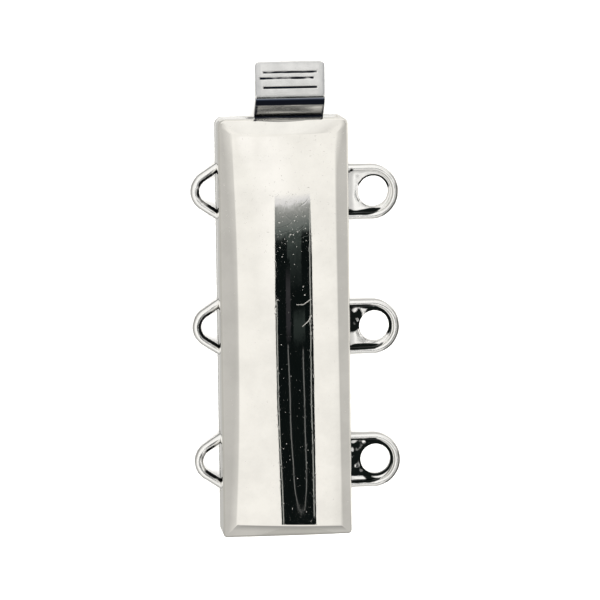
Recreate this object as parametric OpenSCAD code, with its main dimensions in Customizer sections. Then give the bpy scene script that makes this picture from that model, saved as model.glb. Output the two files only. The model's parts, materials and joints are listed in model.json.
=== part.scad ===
// Three-row box clasp: a pressed box with eyelets, and a sliding tongue with a spring catch.
// Lengths are in millimetres. X runs across the rows of strands, Y along the box towards its
// open end, and Z up. The origin is the middle of the base plate's underside.

/* [Box] */
// Length of the box
box_len = 24.6; // [24:0.1:32]
// Width of the box
box_w = 7.6; // [7:0.1:10]
// Height of the upright walls, up to the bevels
wall_h = 2.5; // [2.45:0.05:3.4]
// Thickness of the cover's sheet
sheet_t = 0.4; // [0.3:0.05:0.5]
// Radius of the box's upright corners
corner_r = 0.4; // [0.2:0.05:0.8]
// Thickness of the base plate
base_t = 0.5; // [0.4:0.05:0.6]

/* [Bevels and crown] */
// Width of the bevel along each side, seen from above
side_bevel = 0.8; // [0.5:0.05:1]
// Width of the bevel across each end, seen from above
end_bevel = 0.85; // [0.5:0.05:1.2]
// Height of the bevels
bevel_h = 0.5; // [0.35:0.05:0.8]
// Height of the face's crown above the bevels
crown_h = 0.3; // [0.1:0.05:0.6]

/* [Rows] */
// Number of rows of strands
rows = 3; // [1:1:3]
// Distance between two rows
row_pitch = 8; // [5:0.1:9]

/* [Eyelets on the box] */
// Width of an eyelet along the box
eyelet_w = 3.24; // [3:0.02:3.8]
// Reach of an eyelet beyond the wall
eyelet_reach = 3.15; // [2.9:0.05:3.6]
// Width of the raised rim
rim_w = 0.42; // [0.3:0.02:0.5]
// Height of the raised rim above the underside
rim_h = 0.85; // [0.6:0.05:1]
// Thickness of the web inside the rim
web_t = 0.4; // [0.3:0.05:0.5]
// Radius of the strand hole
hole_r = 0.9; // [0.6:0.05:1]
// Distance from the wall to the hole's centre
hole_out = 1.7; // [1.5:0.02:1.8]
// Shift of the eyelets along the box, from the middle of their row
eyelet_shift = -0.25; // [-0.4:0.05:0.4]

/* [Loops on the tongue] */
// Width of a loop where it leaves the wall
loop_w = 3.3; // [2.8:0.05:3.8]
// Outer radius at the loop's tip
loop_tip_r = 1.24; // [0.8:0.02:1.34]
// Angle of the loop's legs to the X axis
loop_leg_angle = 33; // [28:1:40]
// Width of the loop's strip
loop_strip_w = 0.5; // [0.35:0.05:0.6]
// Thickness of the loop's strip
loop_t = 0.45; // [0.4:0.05:0.6]

/* [Tongue and leaf] */
// Thickness of the folded strip
strip_t = 0.35; // [0.25:0.05:0.4]
// Free height inside the fold
fold_gap = 0.25; // [0.2:0.05:0.35]
// Width of the guide rail on the tongue
rail_w = 0.35; // [0.25:0.05:0.5]
// Height of the guide rail above the tongue
rail_h = 0.8; // [0.4:0.05:0.9]
// Length of the leaf's upswept tip
tip_len = 3.4; // [2.6:0.1:4]
// Radius of the bend where the leaf's tip turns up
kink_r = 4; // [2:0.5:8]
// Overlap of the catch shoulders behind the end wall
catch_bite = 0.4; // [0.3:0.05:0.5]

/* [Thumb tab] */
// Width of the thumb tab
tab_w = 4; // [3:0.05:4.4]
// Distance from the box's centre line to the tab's
tab_off = 0.35; // [0:0.05:0.5]
// Length of the tab's flat plate
tab_plate_len = 2; // [1.8:0.05:3]
// Angle of the ramp that lifts the plate
ramp_angle = 48; // [35:1:60]
// Length of the ramp between its bends
ramp_len = 0.9; // [0.4:0.05:1.2]
// Inner radius of the bend at the ramp's foot
ramp_foot_r = 0.15; // [0.1:0.05:0.3]
// Outer radius of the bend at the ramp's top
ramp_top_r = 0.75; // [0.5:0.05:1]
// Radius of the plate's outer corners
tab_corner_r = 0.22; // [0.1:0.02:0.4]
// Distances of the grip grooves from the plate's outer edge
grip_at = [0.55, 0.9, 1.46];
// Length of a grip groove
grip_len = 3.2; // [2:0.1:3.8]
// Width of a grip groove
grip_w = 0.14; // [0.08:0.02:0.2]
// Depth of a grip groove
grip_depth = 0.1; // [0.05:0.01:0.15]

/* [Clearances] */
// Gap of the seam between pieces that are pressed or folded together
seam_gap = 0.03; // [0.02:0.01:0.05]
// Gap under the tongue, and above a loop in its slot
run_gap = 0.05; // [0.03:0.01:0.08]
// Gap beside the tongue, the leaf, the tab and the eyelets
side_gap = 0.1; // [0.05:0.01:0.15]
// Gap in front of the catch shoulders, and behind the closed loops
stop_gap = 0.1; // [0.05:0.01:0.2]
// Gap over the leaf as it passes the open end
pass_gap = 0.1; // [0.05:0.01:0.15]

/* [Hidden] */
$fn = 96;
bend_steps = 8;

// How far a cutting shape runs past what it cuts, and how far it starts inside an open space
past = 1;
lap = 0.05;

// The box, outside and inside
half_w = box_w / 2;
half_len = box_len / 2;
half_in = half_w - sheet_t;
end_in = half_len - sheet_t;
box_h = wall_h + bevel_h + crown_h;
face_w = box_w - 2 * side_bevel;
crown_r = (face_w * face_w / 4 + crown_h * crown_h) / (2 * crown_h);
side_slope = atan2(bevel_h, side_bevel);
end_slope = atan2(bevel_h, end_bevel);

// The rows, and the slot that the tongue's loops slide in
row_y = [for (i = [0:rows - 1]) (i - (rows - 1) / 2) * row_pitch];
slot_y = row_y[0] - loop_w / 2 - 2 * stop_gap;

// Heights inside the box, from the base plate up
tongue_z = base_t + run_gap;
tongue_top = tongue_z + strip_t;
slot_top = tongue_z + loop_t + 2 * run_gap;
leaf_root_z = tongue_top + fold_gap + strip_t;

// Heights at the open end, from the cover's inner corner down
catch_z = corner_z(wall_h, sheet_t, end_slope) - run_gap;
open_z = catch_z - catch_bite;
kink_z = open_z - pass_gap;

// The fold at the closed end, and the leaf's places along Y
fold_r = (leaf_root_z - tongue_z) / 2;
fold_z = tongue_z + fold_r;
fold_y = fold_r + 3 * stop_gap - end_in;
catch_y = end_in - stop_gap;
kink_y = catch_y - tip_len;
root_slope = atan2(kink_z - leaf_root_z, kink_y - fold_y);
tip_slope = atan2(catch_z - kink_z, tip_len);
tongue_half_w = half_in - side_gap;
leaf_w = 2 * tongue_half_w - rail_w - side_gap;
leaf_mid = (rail_w + side_gap) / 2;

// Height of the inner corner between a wall and a bevel, where the sheet is t thick
function corner_z(z, t, slope) = z - t * tan((90 - slope) / 2);

// A roof-shaped outline with upright sides, its slopes carried past the top of the box
function roof(half, z, slope, floor_z) =
    let (far = box_h + past, top = half - (far - z) / tan(slope))
    [[-half, floor_z], [half, floor_z], [half, z], [top, far], [-top, far], [-half, z]];

// A place on a bent strip is [y, z, heading]
function ahead(at, d) = [at[0] + d * cos(at[2]), at[1] + d * sin(at[2]), at[2]];
function turned(at, a, r) =
    let (s = sign(a), h = at[2] + a)
    [at[0] + s * r * (sin(h) - sin(at[2])), at[1] - s * r * (cos(h) - cos(at[2])), h];

// The places along a strip's upper side. A move is [length, turn, radius of the upper side]
function trail(moves, at, i = 0) =
    i == len(moves) ? [] :
    let (m = moves[i], bend = ahead(at, m[0]))
    concat(
        [bend],
        m[1] == 0 ? [] : [for (k = [1:bend_steps]) turned(bend, m[1] * k / bend_steps, m[2])],
        trail(moves, turned(bend, m[1], m[2]), i + 1)
    );

// The outline of a strip that is t thick under a trail of places
function strip_outline(places, t) = concat(
    [for (p = places) [p[0], p[1]]],
    [for (k = [len(places) - 1:-1:0])
        let (p = places[k]) [p[0] + t * sin(p[2]), p[1] - t * cos(p[2])]]
);

// Extrudes an outline of [y, z] points across the box, centred on x
module across(width, x = 0) {
    translate([x - width / 2, 0, 0]) rotate([90, 0, 90]) linear_extrude(width) children();
}

// A rectangle with round corners, centred
module rounded_plan(w, l, r) {
    square([w - 2 * r, l], center = true);
    square([w, l - 2 * r], center = true);
    for (x = [-1, 1], y = [-1, 1])
        translate([x * (w / 2 - r), y * (l / 2 - r)]) circle(r);
}

// The cover's solid form with its skin taken off to a depth of t
module cover_form(t, floor_z) {
    side_roof = roof(half_w - t, corner_z(wall_h, t, side_slope), side_slope, floor_z);
    end_roof = roof(half_len - t, corner_z(wall_h, t, end_slope), end_slope, floor_z);
    intersection() {
        rotate([90, 0, 0]) linear_extrude(box_len + past, center = true) polygon(side_roof);
        across(box_w + past) polygon(end_roof);
        translate([0, 0, box_h - crown_r]) rotate([90, 0, 0])
            cylinder(r = crown_r - t, h = box_len + 2 * past, center = true);
    }
}

// The slot along the left wall, open at the box's open end
module slot_cut() {
    translate([-half_w - past, slot_y, -past])
        cube([sheet_t + past + lap, half_len - slot_y + past, slot_top + past]);
}

// The opening across the end wall, and the higher notch for the tab's neck
module end_cut() {
    notch_w = tab_w + 2 * side_gap;
    translate([-half_in, end_in - lap, -past])
        cube([2 * half_in, sheet_t + past, open_z + past]);
    translate([tab_off - notch_w / 2, end_in - lap, open_z - lap])
        cube([notch_w, sheet_t + past, wall_h - open_z + lap]);
}

// The notches in the right wall where the eyelets come out
module eyelet_cuts() {
    cut_w = eyelet_w + 2 * side_gap;
    for (y = row_y)
        translate([half_in - lap, y + eyelet_shift - cut_w / 2, -past])
            cube([sheet_t + past, cut_w, rim_h + side_gap + past]);
}

// The pressed cover, open below, with its skirt round the base plate on three sides
module box_cover() color("gainsboro") {
    difference() {
        intersection() {
            cover_form(0, 0);
            linear_extrude(box_h + past) rounded_plan(box_w, box_len, corner_r);
        }
        cover_form(sheet_t, -past);
        slot_cut();
        end_cut();
        eyelet_cuts();
    }
}

// The section of an eyelet's rim, with a round top
module rim_section() {
    square([rim_w, rim_h - rim_w / 2]);
    translate([rim_w / 2, rim_h - rim_w / 2]) circle(rim_w / 2);
}

// One eyelet, reaching out along X from the wall's outer face
module eyelet() {
    half = eyelet_w / 2;
    bend_x = eyelet_reach - half;
    difference() {
        union() {
            translate([-sheet_t - 2 * seam_gap, -half, 0])
                cube([bend_x + sheet_t + 2 * seam_gap, eyelet_w, web_t]);
            translate([bend_x, 0, 0]) cylinder(r = half, h = web_t);
        }
        translate([hole_out, 0, -past]) cylinder(r = hole_r, h = web_t + 2 * past);
    }
    translate([bend_x, 0, 0]) rotate([0, 0, -90])
        rotate_extrude(angle = 180) translate([half - rim_w, 0]) rim_section();
    for (y = [-half, half - rim_w])
        translate([-sheet_t, y, 0]) rotate([90, 0, 90])
            linear_extrude(bend_x + sheet_t) rim_section();
}

// The base plate, flush with the box at the slot and at the open end, and its eyelets
module box_base() color("silver") {
    inner_x = half_in - seam_gap;
    inner_y = end_in - seam_gap;
    linear_extrude(base_t) intersection() {
        rounded_plan(box_w, box_len, corner_r);
        union() {
            translate([-inner_x, -inner_y]) square([2 * inner_x, inner_y + half_len]);
            translate([-half_w, slot_y + seam_gap])
                square([half_w, half_len - slot_y - seam_gap]);
        }
    }
    for (y = row_y) translate([half_w, y + eyelet_shift, 0]) eyelet();
}

// The filled outline of a loop, reaching out along X, with its edge taken in by t
module loop_shape(t) {
    half = loop_w / 2;
    r = loop_tip_r - t;
    tip_x = (half * cos(loop_leg_angle) - loop_tip_r) / sin(loop_leg_angle);
    foot_y = (r + tip_x * sin(loop_leg_angle)) / cos(loop_leg_angle);
    root = sheet_t + (t > 0 ? past : 0);
    side = [[-root, foot_y], [0, foot_y],
        [tip_x + r * sin(loop_leg_angle), r * cos(loop_leg_angle)]];
    polygon(concat(side, [for (k = [2:-1:0]) [side[k][0], -side[k][1]]]));
    translate([tip_x, 0]) circle(r);
}

// The sliding plate with its loops, and the rail that holds it behind the left wall
module tongue() color("lightgray") {
    flange_y = row_y[0] - loop_w / 2 - stop_gap;
    plate_y = fold_y + seam_gap;
    plate_end = half_len - stop_gap;
    translate([-tongue_half_w, plate_y, tongue_z])
        cube([2 * tongue_half_w, plate_end - plate_y, strip_t]);
    translate([-half_w + run_gap, flange_y, tongue_z])
        cube([half_w - run_gap, half_len - corner_r - flange_y, strip_t]);
    translate([-tongue_half_w, flange_y, tongue_z])
        cube([rail_w, catch_y - flange_y, strip_t + rail_h]);
    for (y = row_y)
        translate([-half_w, y, tongue_z]) mirror([1, 0, 0]) linear_extrude(loop_t)
            difference() {
                loop_shape(0);
                loop_shape(loop_strip_w);
            }
}

// The spring leaf: its fold, its wide blade up to the catch shoulders, and the thumb tab
module spring_leaf() color("whitesmoke") {
    kink = tip_slope - root_slope;
    kink_len = kink_r * tan(kink / 2);
    blade_moves = [
        [(kink_y - fold_y) / cos(root_slope) - kink_len, kink, kink_r],
        [tip_len / cos(tip_slope) - kink_len, 0, 0]
    ];
    tab_moves = [
        [(half_len + side_gap - catch_y) / cos(tip_slope), ramp_angle - tip_slope, ramp_foot_r],
        [ramp_len, -ramp_angle, ramp_top_r],
        [tab_plate_len, 0, 0]
    ];
    blade = concat(
        [[fold_y, leaf_root_z, 0]],
        trail(blade_moves, [fold_y, leaf_root_z, root_slope])
    );
    catch_place = blade[len(blade) - 1];
    whole = concat(blade, trail(tab_moves, catch_place));
    tab_end = whole[len(whole) - 1];

    across(leaf_w, leaf_mid) difference() {
        translate([fold_y, fold_z]) circle(fold_r);
        translate([fold_y, fold_z]) circle(fold_r - strip_t);
        translate([fold_y, 0]) square([past, 2 * leaf_root_z]);
    }
    across(leaf_w, leaf_mid) polygon(strip_outline(blade, strip_t));
    difference() {
        intersection() {
            across(tab_w, tab_off) polygon(strip_outline(whole, strip_t));
            translate([tab_off, 0, 0]) linear_extrude(2 * box_h)
                rounded_plan(tab_w, 2 * tab_end[0], tab_corner_r);
        }
        for (d = grip_at)
            translate([tab_off - grip_len / 2, tab_end[0] - d - grip_w / 2, tab_end[1] - grip_depth])
                cube([grip_len, grip_w, grip_depth + past]);
    }
}

box_cover();
box_base();
tongue();
spring_leaf();
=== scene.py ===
"""A three-row silver-plated box clasp, lying closed on a pale table as in the photograph.

X runs across the rows, Y along the box towards the thumb tab, and Z up. The shapes are worked
out in millimetres, and mesh_object() turns them into metres.
"""
import json
import math

import bpy
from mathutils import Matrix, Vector, noise

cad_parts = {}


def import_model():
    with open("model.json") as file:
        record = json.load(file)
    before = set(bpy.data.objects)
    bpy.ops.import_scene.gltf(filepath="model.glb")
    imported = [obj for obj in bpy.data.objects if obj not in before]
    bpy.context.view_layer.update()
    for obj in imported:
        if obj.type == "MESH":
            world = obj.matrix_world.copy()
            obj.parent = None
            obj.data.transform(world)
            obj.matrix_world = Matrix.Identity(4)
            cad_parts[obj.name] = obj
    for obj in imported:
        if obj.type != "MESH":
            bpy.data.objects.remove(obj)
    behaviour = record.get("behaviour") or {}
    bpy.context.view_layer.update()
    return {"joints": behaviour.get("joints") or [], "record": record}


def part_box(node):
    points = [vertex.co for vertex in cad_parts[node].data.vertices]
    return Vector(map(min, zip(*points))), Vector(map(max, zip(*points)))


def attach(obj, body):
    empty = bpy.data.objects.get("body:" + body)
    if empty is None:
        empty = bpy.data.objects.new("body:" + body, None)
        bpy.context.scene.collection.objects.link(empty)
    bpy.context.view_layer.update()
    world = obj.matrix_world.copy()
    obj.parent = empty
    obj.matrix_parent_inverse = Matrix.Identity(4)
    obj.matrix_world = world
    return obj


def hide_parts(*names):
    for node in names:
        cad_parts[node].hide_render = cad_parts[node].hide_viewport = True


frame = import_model()

# Without a fixed seed, noise_vector() would start from the clock and differ in each run
noise.seed_set(4)

MM = 0.001

# The box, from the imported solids
box_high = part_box("box_cover")[1]
HALF_W = box_high.x / MM
HALF_LEN = box_high.y / MM
BOX_H = box_high.z / MM
SHEET = 0.4
CORNER_R = 0.4
CORNER_R_LOW = 0.2
STRAIGHT_X = HALF_W - CORNER_R
STRAIGHT_Y = HALF_LEN - CORNER_R
CORNER_TURNS = [math.radians(a) for a in (15, 30, 45, 60, 75)]
IN_W = HALF_W - SHEET
IN_LEN = HALF_LEN - SHEET
IN_CORNER_R = 0.06
WALL_H = 2.5
SHOULDER_R = 0.36
SHOULDER_R_TOP = 0.2
IN_SHOULDER_R = 0.05
SEAM = 0.03
SIDE_GAP = 0.1

# How far the cover's ridges lie from its walls. A long ridge bows inwards by (its most, more
# towards the tab, the power of its curve), and flares further in at (its low end, its tab end).
RIDGE_END = 0.6
RIDGE_BOW_LEFT = (0.4, 0.0, 3)
RIDGE_BOW_RIGHT = (0.12, 0.14, 5)
RIDGE_FLARE_LEFT = (0.14, 0.26)
RIDGE_FLARE_RIGHT = (0.04, 0.19)
RIDGE_TOP = 0.88
RIDGE_LOW_LEFT = 0.86
RIDGE_LOW_RIGHT = 0.52
RIDGE_SOFT = 0.08
RIDGE_GUARD = 0.03
BEVEL_BULGE = 0.014

# How the cover's face bulges. Beyond TOP_END_Y it drops towards the tab's end, and the drop
# fades away towards the left ridge.
CROWN = 0.3
DOME = 0.16
TOP_END_Y = 7.8
TOP_END_DROP = 0.1
DROP_FADE_W = 1.3
FACE_HALF_W = 3.0
FACE_HALF_LEN = 11.45

# The base plate, its eyelets and the slot in the cover's left wall
BASE_T = 0.5
mounts = [m for m in frame["record"]["mounts"] if m["name"].startswith("eyelet")]
EYELETS = {m["name"]: m["pos_m"][1] / MM for m in mounts}
EYELET_HALF = 1.62
EYELET_ROOT_X = HALF_W - 0.35
EYELET_BEND_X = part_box("box_base")[1].x / MM - EYELET_HALF
HOLE_X = mounts[0]["pos_m"][0] / MM
HOLE_R = mounts[0]["dims"]["r_mm"]
HOLE_SOFT = 0.05
RIM_W = 0.42
RIM_H = 0.85
SLOT_Y = -9.85
SLOT_TOP = 1.1

# The web in an eyelet: its height, how it rises to the rim, the hole and the box's wall, and
# how steeply it falls away from the box in each of the three
WEB_T = 0.4
WEB_Z = 0.34
WEB_TO_RIM = 0.12
WEB_TO_HOLE = 0.04
WEB_TO_WALL = 0.12
WEB_WALL_W = 0.5
WEB_LUMPS = 0.035
WEB_TUCK = 0.08
WEB_ROOT = 0.3
WEB_COUNT = 120
WEB_SHARES = (0, 0.06, 0.13, 0.22, 0.32, 0.42, 0.52, 0.62, 0.72, 0.8, 0.87, 0.93)
WEB_LEAN = (0.0, 0.1, 0.12)

# The painted grey shade lines on rims and ridges: where on a wire's width its outer line starts,
# and how grey each line is
OUTER_SHARE = 0.8
OUTER_SHADE = 0.5
SHADE_LINE_SHARE = 0.38
EDGE_W = 0.03
EDGE_LOW_Z = 2.2
EDGE_SHADE = 0.75
LOW_RIDGE_SHADE = 0.6
LOW_RIDGE_W = 0.3
LOW_FOOT_SHADE = 0.45
LOW_FOOT_W = 0.13

# The painted shade on the low, middle and high eyelet, in mm from the middle of the strand hole:
# how far out the rim's painted dark line runs on its low and its high side (-9 is nowhere), how far
# across the wire it reaches at its tip and further in, the spots in the web left bright, and a dark
# fleck as (x, y, radius)
RIM_DARK_TO = ((0.3, 0.5), (0.5, 0.25), (0.3, -9.0))
RIM_DARK_EDGES = (-0.19, -0.03)
RIM_TAPER = 0.8
UNSHADED_SPOTS = (
    ((-1.3, 1.1, 0.22), (-1.4, 0.5, 0.17), (-1.2, -0.3, 0.2), (-0.75, 1.0, 0.15)),
    ((-1.12, 0.98, 0.24), (-1.05, 0.38, 0.13)),
    (),
)
HIGH_RIM_FLECK = (-1.34, 1.3, 0.16)

# The tongue and its loops
TONGUE_Z = 0.55
STRIP_T = 0.35
TONGUE_HALF = IN_W - SIDE_GAP
FLANGE_Y = SLOT_Y + SIDE_GAP
FLANGE_INSET = 0.05
RAIL_W = 0.35
RAIL_H = 0.8
ROWS = {"low": -8.0, "middle": 0.0, "high": 8.0}
LOOP_HALF = 1.65
LOOP_STRIP = 0.5
LOOP_T = 0.45
LOOP_TIP_R = 1.24
LOOP_ROOT = 0.3
LOOP_ANGLE = math.radians(33)

# The spring leaf and its thumb tab, with places along it as (y, z)
FOLD_Y = frame["joints"][1]["pos_m"][1] / MM
FOLD_Z = frame["joints"][1]["pos_m"][2] / MM
FOLD_R = 0.475
LEAF_X = (-2.85, 3.3)
LEAF_ROOT_Z = 1.5
CATCH = (IN_LEN - SIDE_GAP, 2.221)
KINK = (CATCH[0] - 3.4, 1.721)
KINK_R = 4.0
TAB_MID = 0.35
TAB_HALF = 2.0
TAB_CORNER = 0.22
TAB_PLATE = 2.0
RAMP_ANGLE = math.radians(48)
RAMP_LEN = 0.9
RAMP_FOOT_R = 0.15
RAMP_TOP_R = 0.75
OPEN_Z = 1.821
NOTCH_HALF = TAB_HALF + SIDE_GAP

# The tab's three grip grooves: how far from its outer edge, how far moved along X, how worn
# and how ragged each one is
GROOVES_AT = (0.6, 0.94, 1.48)
GROOVE_SHIFTS = (0.0, -0.2, 0.0)
GROOVE_WEAR = (0.7, 0.85, 1.0)
GROOVE_RAGGED = (0.7, 0.8, 0.15)
GROOVE_HALF_LEN = 1.58
GROOVE_HALF_W = 0.08
GROOVE_DEPTH = 0.09

# How dark the tab's groove tarnish is, and its painted reflection on the ramp and the bend and
# painted shade at the foot, and how grey painted shade makes its plate. The ranges lie (from, to)
# before the plate's inner end, but the foot's line lies that far outside the box.
GROOVE_TARNISH = 1.4
RAMP_SHADE = 0.6
RAMP_SIDE_SHADE = 0.84
BEND_SHADE = 1.1
BEND_DARK = (0.53, 0.19)
BEND_BLUE = (0.27, 0.08)
FOOT_DARK = (0.04, 0.19)
PLATE_SHADE = 0.15
PLATE_SIDE_SHADE = 0.28
PLATE_END_SHADE = 0.26
PLATE_EDGE_SHADE = 0.62

# How finely the cover's section is divided: heights on its wall, then steps round its
# shoulder, up its bevel and over its soft ridge
WALL_ROWS = [0.0, 0.06, 0.5, 0.95, SLOT_TOP, 1.5, OPEN_Z, 2.1, 2.28]
ARC_STEPS = 7
BEVEL_STEPS = 4
SOFT_STEPS = 6


# Numbers
def mix(a, b, t):
    """The number that lies the share t of the way from a to b."""
    return a + (b - a) * t


def lerp(a, b, t):
    """The point that lies the share t of the way from a to b."""
    return tuple(mix(x, y, t) for x, y in zip(a, b))


def clamp(value):
    """The value, kept from 0 to 1."""
    return max(0.0, min(1.0, value))


def above(value, low, soft):
    """1 above a limit and 0 below it, with a soft step between."""
    return clamp((value - low) / soft + 0.5)


def below(value, high, soft):
    """1 below a limit and 0 above it, with a soft step between."""
    return clamp((high - value) / soft + 0.5)


def between(value, low, high, soft):
    """1 between two limits, with soft ends."""
    return min(above(value, low, soft), below(value, high, soft))


def spot(x, y, place):
    """1 in the middle of a round spot (x, y, radius), down to 0 at its edge."""
    return clamp(1.6 * (1 - math.dist((x, y), place[:2]) / place[2]))


def steps(low, high, spacing, extra=()):
    """Evenly spaced values from low to high, with the extra ones put in their places."""
    count = max(1, math.ceil((high - low) / spacing))
    values = [low + (high - low) * k / count for k in range(count + 1)]
    clear = spacing * 0.3
    keep = [v for v in values if all(abs(v - e) > clear for e in extra) or v in (low, high)]
    return sorted(keep + [e for e in extra if low < e < high])


# Meshes
def linked(name, data):
    """A new object of the scene from its data."""
    obj = bpy.data.objects.new(name, data)
    bpy.context.scene.collection.objects.link(obj)
    return obj


def mesh_object(name, points, faces, material, sharp=(), bevel=0.0):
    """A smooth-shaded object from points in mm. sharp holds the point pairs of its crisp edges."""
    mesh = bpy.data.meshes.new(name)
    mesh.from_pydata([Vector(p) * MM for p in points], [], faces)
    mesh.validate()
    mesh.polygons.foreach_set("use_smooth", [True] * len(mesh.polygons))
    mesh.materials.append(material)
    obj = linked(name, mesh)
    pairs = {frozenset(p) for p in sharp}
    weight = mesh.attributes.new("bevel_weight_edge", "FLOAT", "EDGE")
    for e in mesh.edges:
        if frozenset(e.vertices) in pairs:
            weight.data[e.index].value = 1.0
    if bevel:
        mod = obj.modifiers.new("soft_edges", "BEVEL")
        mod.limit_method = "WEIGHT"
        mod.width = bevel * MM
        mod.segments = 3
        mod.miter_outer = "MITER_ARC"
    return obj


def tint(obj, name, values):
    """Keeps one number a point on the mesh, for its material to read."""
    layer = obj.data.attributes.new(name, "FLOAT", "POINT")
    layer.data.foreach_set("value", values)


class Sheet:
    """A sheet with an outer and an inner side, from two grids of points and the cells left open."""

    def __init__(self):
        self.points, self.faces, self.sharp, self.index = [], [], [], {}

    def point(self, p):
        key = (round(p[0], 4), round(p[1], 4), round(p[2], 4))
        if key not in self.index:
            self.index[key] = len(self.points)
            self.points.append(tuple(p))
        return self.index[key]

    def face(self, *corners):
        ids = []
        for c in corners:
            i = self.point(c)
            if i not in ids:
                ids.append(i)
        if len(ids) > 2:
            self.faces.append(ids)

    def grid(self, outer, inner, is_open=lambda i, j: False, wrap=False, bare=lambda a, b: False):
        """Adds both sides of a grid, and closes its rims except where bare() leaves them."""
        n, m = len(outer), len(outer[0])
        last = n if wrap else n - 1
        closed = [[not is_open(i, j) for j in range(m - 1)] for i in range(last)]

        def has(i, j):
            if wrap:
                i %= n
            return 0 <= i < last and 0 <= j < m - 1 and closed[i][j]

        for i in range(last):
            k = (i + 1) % n
            for j in range(m - 1):
                if not closed[i][j]:
                    continue
                self.face(outer[i][j], outer[k][j], outer[k][j + 1], outer[i][j + 1])
                self.face(inner[i][j + 1], inner[k][j + 1], inner[k][j], inner[i][j])
                sides = (
                    (has(i, j - 1), (k, j), (i, j)),
                    (has(i, j + 1), (i, j + 1), (k, j + 1)),
                    (has(i - 1, j), (i, j), (i, j + 1)),
                    (has(i + 1, j), (k, j + 1), (k, j)),
                )
                for joined, a, b in sides:
                    if not joined and not bare(a, b):
                        self.rim(
                            (outer[a[0]][a[1]], outer[b[0]][b[1]]),
                            (inner[a[0]][a[1]], inner[b[0]][b[1]]),
                        )

    def rim(self, outer, inner):
        """Closes the sheet between an outer and an inner edge, and keeps both of them crisp."""
        self.face(*outer, *reversed(inner))
        self.sharp.append([self.point(p) for p in outer])
        self.sharp.append([self.point(p) for p in inner])

    def build(self, name, material, bevel=0.0):
        return mesh_object(name, self.points, self.faces, material, self.sharp, bevel)


# Cover
def face_z(x, y):
    """Height of the crowned face, which also falls a little towards the box's ends."""
    across, along = x / FACE_HALF_W, y / FACE_HALF_LEN
    end = max(0.0, (y - TOP_END_Y) / (FACE_HALF_LEN - TOP_END_Y))
    fade = clamp((x + FACE_HALF_W) / DROP_FADE_W)
    drop = TOP_END_DROP * end * end * fade * fade * (3 - 2 * fade)
    return BOX_H - CROWN * across * across - DOME * along * along - drop


def ridge_side(side, y):
    """Distance of a long ridge from its wall."""
    bow, lean, power = RIDGE_BOW_LEFT if side < 0 else RIDGE_BOW_RIGHT
    low_flare, top_flare = RIDGE_FLARE_LEFT if side < 0 else RIDGE_FLARE_RIGHT
    t = max(-1.0, min(1.0, y / HALF_LEN))
    flare = (top_flare if t > 0 else low_flare) * t ** 6
    return RIDGE_END + flare + (bow + lean * t) * (1 - abs(t) ** power)


def ridge_end(end, x):
    """Distance of an end's ridge from its wall."""
    if end > 0:
        return RIDGE_TOP
    t = (x + HALF_W) / (2 * HALF_W)
    return mix(RIDGE_LOW_LEFT, RIDGE_LOW_RIGHT, t)


def stations():
    """Places round the cover's plan: ("side" or "end" or "arc", its signs, its place along)."""
    notch = [TAB_MID - NOTCH_HALF, TAB_MID + NOTCH_HALF]
    cuts = [SLOT_Y]
    for y in EYELETS.values():
        cuts += [y - EYELET_HALF - SIDE_GAP, y + EYELET_HALF + SIDE_GAP]
    ys = steps(-STRAIGHT_Y, STRAIGHT_Y, 0.3, cuts)
    xs = steps(-STRAIGHT_X, STRAIGHT_X, 0.17, notch)
    turns_back = [math.pi / 2 - a for a in CORNER_TURNS]
    places = []
    for s in (1, -1):
        places += [("side", s, y) for y in ys[::s]]
        places += [("arc", (s, s), a) for a in CORNER_TURNS]
        places += [("end", s, x) for x in xs[::-s]]
        places += [("arc", (-s, s), a) for a in turns_back]
    return places, xs, ys


def ridge_corner(sx, sy, inward=0.0):
    """Where a side ridge meets an end ridge, or where the lines that far inside them do."""
    x, y = sx * (HALF_W - RIDGE_END), sy * (HALF_LEN - RIDGE_TOP)
    for _ in range(30):
        x = sx * (HALF_W - ridge_side(sx, y) - inward)
        y = sy * (HALF_LEN - ridge_end(sy, x) - inward)
    return x, y


def outline(place, half_w, half_len, r_top, r_low):
    """A place on a rounded rectangle, where a corner's arc starts at the same place along."""
    kind, sign, at = place
    if kind == "side":
        end = at
    elif kind == "end":
        end = sign
    else:
        end = sign[1]
    r = r_low if end < 0 else r_top
    cx, cy = half_w - r, half_len - r
    if kind == "side":
        y = at if abs(at) < STRAIGHT_Y - 1e-6 else math.copysign(cy, at)
        return sign * half_w, y
    if kind == "end":
        x = at if abs(at) < STRAIGHT_X - 1e-6 else math.copysign(cx, at)
        return x, sign * half_len
    return sign[0] * (cx + r * math.cos(at)), sign[1] * (cy + r * math.sin(at))


def ridge_place(place, inward=0.0):
    """The place on the ridge, or that far inside it, across from a place on the wall."""
    kind, sign, at = place
    corners = {(sx, sy): ridge_corner(sx, sy, inward) for sx in (-1, 1) for sy in (-1, 1)}
    if kind == "arc":
        return corners[sign]
    if kind == "side":
        low, top = corners[(sign, -1)][1], corners[(sign, 1)][1]
        y = mix(low, top, (at / STRAIGHT_Y + 1) / 2)
        return sign * (HALF_W - ridge_side(sign, y) - inward), y
    left, right = corners[(-1, sign)][0], corners[(1, sign)][0]
    x = mix(left, right, (at / STRAIGHT_X + 1) / 2)
    return x, sign * (HALF_LEN - ridge_end(sign, x) - inward)


def shoulder(place):
    """Radius of the bend between the wall and its bevel, tighter at the tab's end."""
    kind, sign, at = place
    if kind == "side":
        return SHOULDER_R
    top = sign > 0 if kind == "end" else math.sin(at) ** 2 * (sign[1] > 0)
    return mix(SHOULDER_R, SHOULDER_R_TOP, top)


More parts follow.
